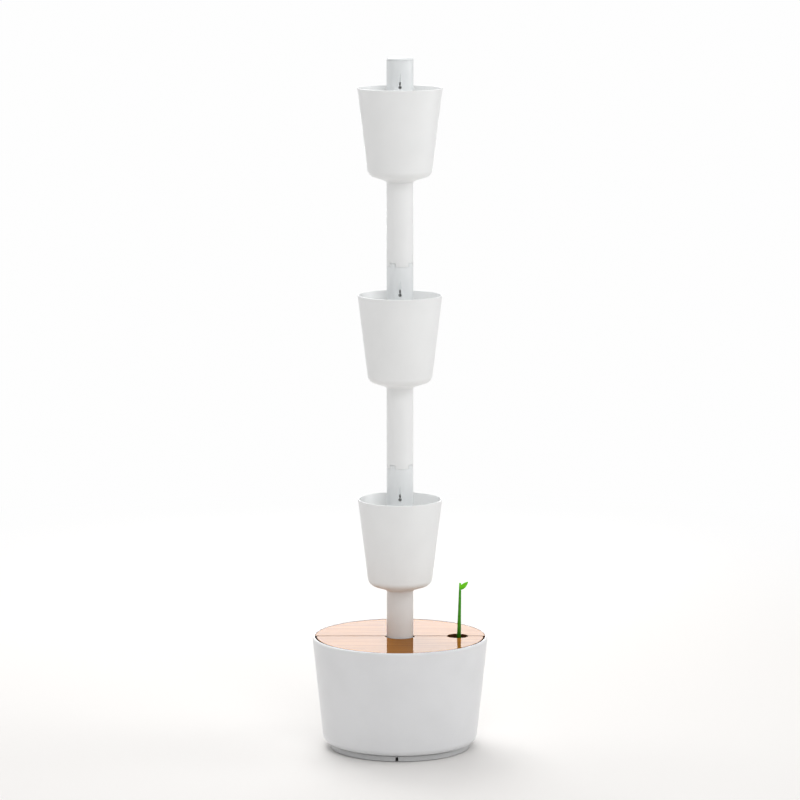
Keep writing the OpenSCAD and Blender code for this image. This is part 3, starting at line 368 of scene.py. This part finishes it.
finishes = {name: mouldedPlastic(name, look) for name, look in mouldedLooks.items()}
finishes.update({name: softSkin(name, look) for name, look in softLooks.items()})
finishes["lid_wood"] = lacqueredWood("lid_wood", lidLook)
finishes["sprout_green"] = dyedSprout("sprout_green", sproutLook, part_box("sprout")[1].z)
finishes["hose_silicone"] = siliconeHose("hose_silicone")
finishes["sponge_foam"] = filterFoam("sponge_foam")
finishes["shaft_ceramic"] = groundCeramic("shaft_ceramic")
finishes["board_green"] = circuitBoard("board_green")
finishes["screw_steel"] = rolledSteel("screw_steel")

for part in frame["record"]["subparts"]:
    thing = nodes[part["node"]]
    finish = finishes[part["material_slot"]]
    for materialSlot in thing.material_slots:
        materialSlot.link = "OBJECT"
        materialSlot.material = finish
print("finished", len(finishes), "materials")


# pieces that the render shapes a little closer than the solids: pots, lid halves and sprout

mm = 0.001


def arcPoints(centre, radius, first, last, steps):
    # points of an arc, angles in degrees
    turns = [math.radians(first + (last - first) * i / steps) for i in range(steps + 1)]
    return [(centre[0] + radius * math.cos(t), centre[1] + radius * math.sin(t)) for t in turns]


def makePiece(name, shape, node, body, smoothAngle):
    # millimetres to metres, shading, and a place on the body that carries it
    bmesh.ops.recalc_face_normals(shape, faces=shape.faces)
    bmesh.ops.scale(shape, vec=(mm, mm, mm), verts=shape.verts)
    mesh = bpy.data.meshes.new(name)
    shape.to_mesh(mesh)
    shape.free()
    mesh.shade_smooth()
    mesh.set_sharp_from_angle(angle=math.radians(smoothAngle))
    piece = bpy.data.objects.new(name, mesh)
    bpy.context.scene.collection.objects.link(piece)
    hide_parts(node)
    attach(piece, body)
    slotName = next(part["material_slot"] for part in frame["record"]["subparts"] if part["node"] == node)
    mesh.materials.append(finishes[slotName])


# pot with its stem, turned about the column, with four key notches in the stem's lower edge

potShape = {
    "rim": 74.2, "wall": 2.6, "depth": 142.5, "draft": 6.9, "corner": 15.0, "slope": 18.0, "fillet": 5.0,
    "tube": 23.5, "bore": 21.0, "seat": 24.3, "seatDepth": 163.2,
    "notches": 4, "notchTurn": 55.0, "notchHeight": 6.6, "notchSteps": 12, "steps": 144,
}


def potProfile(look, foot):
    # radius and height below the rim, from the rim's inner side round to the floor inside
    draft, slope = math.radians(look["draft"]), math.radians(look["slope"])
    bead = look["wall"] / 2
    bend = (look["rim"] - look["depth"] * math.tan(draft) - look["corner"] * math.cos(draft),
            -look["depth"] + look["corner"] * math.sin(draft))
    under = (bend[0] + look["corner"] * math.sin(slope), bend[1] - look["corner"] * math.cos(slope))
    hub = look["tube"] + look["fillet"]
    hubHeight = under[1] + (math.sin(slope) * (hub - under[0]) - look["fillet"]) / math.cos(slope)
    notchTop = foot + look["notchHeight"]
    return (arcPoints((look["rim"] - bead, -bead), bead, 180 - look["draft"], -look["draft"], 10)
            + arcPoints(bend, look["corner"], -look["draft"], look["slope"] - 90, 16)
            + arcPoints((hub, hubHeight), look["fillet"], 90 + look["slope"], 180, 8)
            + [(look["tube"], notchTop), (look["tube"], foot), (look["bore"], foot), (look["bore"], notchTop)]
            + [(look["bore"], -look["seatDepth"]), (look["seat"], -look["seatDepth"])]
            + arcPoints(bend, look["corner"] - look["wall"], look["slope"] - 90, -look["draft"], 12))


def cutNotches(shape, look, foot, rim):
    # opens the stem's edge between two turns of the profile, then closes the notch's roof and sides
    notchTop, steps = foot + look["notchHeight"], look["steps"]
    corners = {"outTop": (look["tube"], notchTop), "outLow": (look["tube"], foot),
               "inLow": (look["bore"], foot), "inTop": (look["bore"], notchTop)}
    rings = {name: {} for name in corners}
    for vert in shape.verts:
        radius, height = math.hypot(vert.co.x, vert.co.y), vert.co.z - rim
        for name, (r, z) in corners.items():
            if abs(radius - r) < 0.02 and abs(height - z) < 0.02:
                rings[name][round(math.atan2(vert.co.y, vert.co.x) * steps / math.tau) % steps] = vert
    for notch in range(look["notches"]):
        middle = (look["notchTurn"] + 360 * notch / look["notches"]) * steps / 360
        start = round(middle - look["notchSteps"] / 2)
        turns = [(start + i) % steps for i in range(look["notchSteps"] + 1)]
        gone = []
        for here, after in zip(turns, turns[1:]):
            for one, two in (("outTop", "outLow"), ("outLow", "inLow"), ("inLow", "inTop")):
                around = [rings[one][here], rings[one][after], rings[two][after], rings[two][here]]
                gone.append(next(face for face in around[0].link_faces if set(face.verts) == set(around)))
        bmesh.ops.delete(shape, geom=gone, context="FACES_ONLY")
        for here, after in zip(turns, turns[1:]):
            shape.faces.new([rings["outTop"][here], rings["outTop"][after],
                             rings["inTop"][after], rings["inTop"][here]])
        for side in (turns[0], turns[-1]):
            shape.faces.new([rings[name][side] for name in corners])
        spare = [rings[name][turn] for name in ("outLow", "inLow") for turn in turns[1:-1]]
        bmesh.ops.delete(shape, geom=spare, context="VERTS")


def makePot(node, body, look):
    low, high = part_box(node)
    rim, foot = high.z / mm, (low.z - high.z) / mm
    shape = bmesh.new()
    profile = [shape.verts.new((r, 0.0, z + rim)) for r, z in potProfile(look, foot)]
    edges = [shape.edges.new((a, b)) for a, b in zip(profile, profile[1:] + profile[:1])]
    bmesh.ops.spin(shape, geom=profile + edges, cent=(0, 0, 0), axis=(0, 0, 1), angle=math.tau,
                   steps=look["steps"], use_merge=True)
    cutNotches(shape, look, foot, rim)
    makePiece(node + "_turned", shape, node, body, 40)


for level in ("bottom", "middle", "top"):
    makePot(level + "_pot", level + "_module", potShape)
print("pots turned")


# lid halves: one board cut with a fine beam, edges just broken

lidShapes = {
    "lid_front": {"radius": 147.6, "corner": 5.0, "collar": 26.1, "side": -1, "body": "front_lid"},
    "lid_back": {"radius": 150.7, "corner": 1.0, "collar": 24.1, "side": 1, "body": "back_lid"},
}
boardShape = {"split": 1.5, "gauge": 102.0, "gaugeHole": 18.4, "raise": 1.0, "break": 0.35}


def lidOutline(look, board):
    # outline of the half on the side y > 0, from the split's left end over the column and the gauge hole
    split, corner = board["split"], look["corner"]
    dip = math.degrees(math.asin(split / look["collar"]))
    gaugeDip = math.degrees(math.asin(split / board["gaugeHole"]))
    reach = look["radius"] - corner
    cornerAngle = math.degrees(math.asin((split + corner) / reach))
    cornerX = reach * math.cos(math.radians(cornerAngle))
    points = arcPoints((-cornerX, split + corner), corner, 180 - cornerAngle, 270, 6)
    points += arcPoints((0.0, 0.0), look["collar"], 180 - dip, dip, 48)
    points += arcPoints((board["gauge"], 0.0), board["gaugeHole"], 180 - gaugeDip, gaugeDip, 40)
    points += arcPoints((cornerX, split + corner), corner, -90, cornerAngle, 6)
    return points + arcPoints((0.0, 0.0), look["radius"], cornerAngle, 180 - cornerAngle, 120)[1:-1]


def makeLid(node, look, board):
    low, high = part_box(node)
    bottom, top = low.z / mm, high.z / mm + board["raise"]
    shape = bmesh.new()
    ring = [shape.verts.new((x, y * look["side"], bottom)) for x, y in lidOutline(look, board)]
    underside = shape.faces.new(ring)
    grown = bmesh.ops.extrude_face_region(shape, geom=[underside])["geom"]
    lifted = [item for item in grown if isinstance(item, bmesh.types.BMVert)]
    bmesh.ops.translate(shape, vec=(0, 0, top - bottom), verts=lifted)
    upper = [edge for edge in shape.edges if all(vert in lifted for vert in edge.verts)]
    bmesh.ops.bevel(shape, geom=upper, offset=board["break"], segments=2, profile=0.5, affect="EDGES")
    makePiece(node + "_cut", shape, node, look["body"], 18)


for lidNode, look in lidShapes.items():
    makeLid(lidNode, look, boardShape)
print("lid halves cut")


# sprout: one moulding, peg in the float, leaning stem and a cupped leaf

sproutShape = {
    "lidHeight": 198.5, "lowX": 104.4, "tipX": 106.5, "rise": 97.0,
    "stem": ((0.0, 3.6), (0.25, 3.15), (0.6, 2.6), (0.85, 2.15), (0.985, 1.95), (1.0, 1.5)),
    "peg": 3.0, "below": 20.0, "leafDrop": 12.5, "leafTilt": 45.0, "leafLength": 20.0, "leafWidth": 8.4,
    "leafThick": 2.2, "cup": 1.2, "leafSteps": 14, "leastWidth": 0.35, "leastThick": 0.25,
}


def loft(shape, places, steps):
    # a unit circle carried from place to place, closed at both ends
    start = bmesh.ops.create_circle(shape, cap_ends=True, segments=steps, radius=1.0, matrix=places[0])
    edges = list({edge for vert in start["verts"] for edge in vert.link_edges})
    for last, place in zip(places, places[1:]):
        grown = bmesh.ops.extrude_edge_only(shape, edges=edges)["geom"]
        verts = {item for item in grown if isinstance(item, bmesh.types.BMVert)}
        edges = [item for item in grown if isinstance(item, bmesh.types.BMEdge) and set(item.verts) <= verts]
        bmesh.ops.transform(shape, matrix=place @ last.inverted(), verts=list(verts))
    bmesh.ops.contextual_create(shape, geom=edges)


def makeSprout(node, body, look):
    low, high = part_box(node)
    lean = (look["tipX"] - look["lowX"]) / look["rise"]
    shape = bmesh.new()
    stations = [(low.z / mm, look["peg"]), (look["lidHeight"] - look["below"], look["peg"])]
    stations += [(look["lidHeight"] - look["below"] + 1.0, look["stem"][0][1] + 0.3)]
    stations += [(look["lidHeight"] + share * look["rise"], radius) for share, radius in look["stem"]]
    places = []
    for height, radius in stations:
        x = look["lowX"] + lean * (max(height, look["lidHeight"] - look["below"]) - look["lidHeight"])
        places.append(Matrix.Translation((x, 0, height)) @ Matrix.Diagonal((radius, radius, 1.0, 1.0)))
    loft(shape, places, 20)
    leafHeight = look["lidHeight"] + look["rise"] - look["leafDrop"]
    root = Vector((look["tipX"] - lean * look["leafDrop"], 0, leafHeight))
    aim = Matrix.Rotation(math.radians(look["leafTilt"]), 4, "Y")
    leaf = []
    for i in range(look["leafSteps"] + 1):
        share = i / look["leafSteps"]
        width = max(look["leastWidth"], look["leafWidth"] / 2 * math.sin(math.pi * share ** 0.8) ** 0.75)
        thick = max(look["leastThick"], look["leafThick"] / 2 * math.sin(math.pi * share ** 0.7) ** 0.5)
        bow = look["cup"] * math.sin(math.pi * share)
        leaf.append(Matrix.Translation(root) @ aim @ Matrix.Translation((0, bow, share * look["leafLength"]))
                    @ Matrix.Diagonal((width, thick, 1.0, 1.0)))
    loft(shape, leaf, 18)
    makePiece(node + "_moulded", shape, node, body, 50)


makeSprout("sprout", "float", sproutShape)
print("sprout moulded")


# room: pale floor that turns to plain white away from the planter

def raysSeen(tree):
    # 1 for rays that show the room to the camera, straight or by a mirror or a pane, and 0 for light itself
    path = addNode(tree, "ShaderNodeLightPath")
    seen = addNode(tree, "ShaderNodeMath", {
        0: path.outputs["Is Camera Ray"], 1: path.outputs["Is Glossy Ray"]}, operation="MAXIMUM")
    seen = addNode(tree, "ShaderNodeMath", {
        0: seen.outputs[0], 1: path.outputs["Is Transmission Ray"]}, operation="MAXIMUM")
    return seen.outputs[0]


roomLook = {"floor": "#ebe9e7", "size": 60.0, "clearFrom": 0.9, "clearTo": 2.6, "light": 0.32}


def paleFloor(look):
    material, tree = newMaterial("pale_floor")
    place = addNode(tree, "ShaderNodeTexCoord").outputs["Object"]
    distance = addNode(tree, "ShaderNodeVectorMath", {0: place}, operation="LENGTH")
    away = addNode(tree, "ShaderNodeMapRange", {
        "Value": distance.outputs["Value"], "From Min": look["clearFrom"], "From Max": look["clearTo"]},
        interpolation_type="SMOOTHSTEP")
    paint = addNode(tree, "ShaderNodeBsdfPrincipled", {
        "Base Color": linear(look["floor"]), "Roughness": 0.75, "Specular IOR Level": 0.2})
    white = addNode(tree, "ShaderNodeEmission", {"Color": (0.99, 0.99, 0.99, 1.0), "Strength": 1.0})
    share = addNode(tree, "ShaderNodeMath", {
        0: raysSeen(tree), 1: away.outputs["Result"]}, operation="MULTIPLY")
    mix = addNode(tree, "ShaderNodeMixShader", {
        "Fac": share.outputs[0], 1: paint.outputs[0], 2: white.outputs[0]})
    finishMaterial(tree, mix)
    return material


def aimAt(thing, look):
    # puts a lamp or camera in its place, looking at its aim
    thing.location = look["at"]
    thing.rotation_euler = (Vector(look["aim"]) - Vector(look["at"])).to_track_quat("-Z", "Y").to_euler()


floorMesh = bpy.data.meshes.new("floor")
shape = bmesh.new()
bmesh.ops.create_grid(shape, x_segments=1, y_segments=1, size=roomLook["size"])
shape.to_mesh(floorMesh)
shape.free()
floorMesh.materials.append(paleFloor(roomLook))
floor = bpy.data.objects.new("floor", floorMesh)
bpy.context.scene.collection.objects.link(floor)

# light: an even room, softboxes all round and above, and a strip behind that the lid mirrors

lightLook = {
    "front": {"at": (0.6, -3.2, 3.0), "aim": (0.0, 0.0, 0.6), "size": (2.5, 2.5), "glow": 3.2},
    "right": {"at": (3.0, 0.1, 1.6), "aim": (0.0, 0.0, 0.6), "size": (1.8, 2.2), "glow": 1.8},
    "left": {"at": (-2.6, 0.9, 1.1), "aim": (0.0, 0.0, 0.5), "size": (1.4, 1.8), "glow": 1.15},
    "back": {"at": (-0.9, 2.2, 3.0), "aim": (0.0, 0.0, 0.3), "size": (1.6, 1.6), "glow": 4.2},
    "high": {"at": (-0.5, 1.4, 3.6), "aim": (0.0, 0.0, 0.3), "size": (2.4, 2.4), "glow": 2.1},
    "top": {"at": (0.2, 0.2, 4.2), "aim": (0.0, 0.0, 0.0), "size": (2.2, 2.2), "glow": 0.9},
    "strip": {"at": (0.0, 2.6, 0.76), "aim": (0.0, 0.0, 0.2), "size": (1.3, 0.34), "glow": 7.0},
}

world = bpy.data.worlds.new("room")
bpy.context.scene.world = world
world.use_nodes = True
roomTree = world.node_tree
roomTree.nodes.clear()
lit = addNode(roomTree, "ShaderNodeBackground", {
    "Color": (1.0, 1.0, 1.0, 1.0), "Strength": roomLook["light"]})
plainWhite = addNode(roomTree, "ShaderNodeBackground", {"Color": (0.99, 0.99, 0.99, 1.0), "Strength": 1.0})
roomMix = addNode(roomTree, "ShaderNodeMixShader", {
    "Fac": raysSeen(roomTree), 1: lit.outputs[0], 2: plainWhite.outputs[0]})
addNode(roomTree, "ShaderNodeOutputWorld", {"Surface": roomMix.outputs[0]})


def softbox(name, look):
    # an area lamp whose glow is set as brightness seen, so size can change without changing it
    lamp = bpy.data.lights.new(name, "AREA")
    lamp.shape = "RECTANGLE"
    lamp.size, lamp.size_y = look["size"]
    lamp.energy = look["glow"] * math.pi * look["size"][0] * look["size"][1]
    holder = bpy.data.objects.new(name, lamp)
    bpy.context.scene.collection.objects.link(holder)
    aimAt(holder, look)
    holder.visible_camera = False


for lampName, look in lightLook.items():
    softbox(lampName, look)
print("room and lights ready")

# camera: the photograph's place, a little above and straight in front

cameraLook = {
    "at": (0.0, -6.95, 1.65), "aim": (0.0, 0.0, 0.622), "lens": 180.0, "sensor": 36.0, "reach": 200.0,
}

cameraData = bpy.data.cameras.new("camera")
cameraData.sensor_width = cameraLook["sensor"]
cameraData.lens = cameraLook["lens"]
cameraData.clip_end = cameraLook["reach"]
camera = bpy.data.objects.new("camera", cameraData)
bpy.context.scene.collection.objects.link(camera)
aimAt(camera, cameraLook)
bpy.context.scene.camera = camera
bpy.context.scene.view_settings.view_transform = "Standard"

print("done")
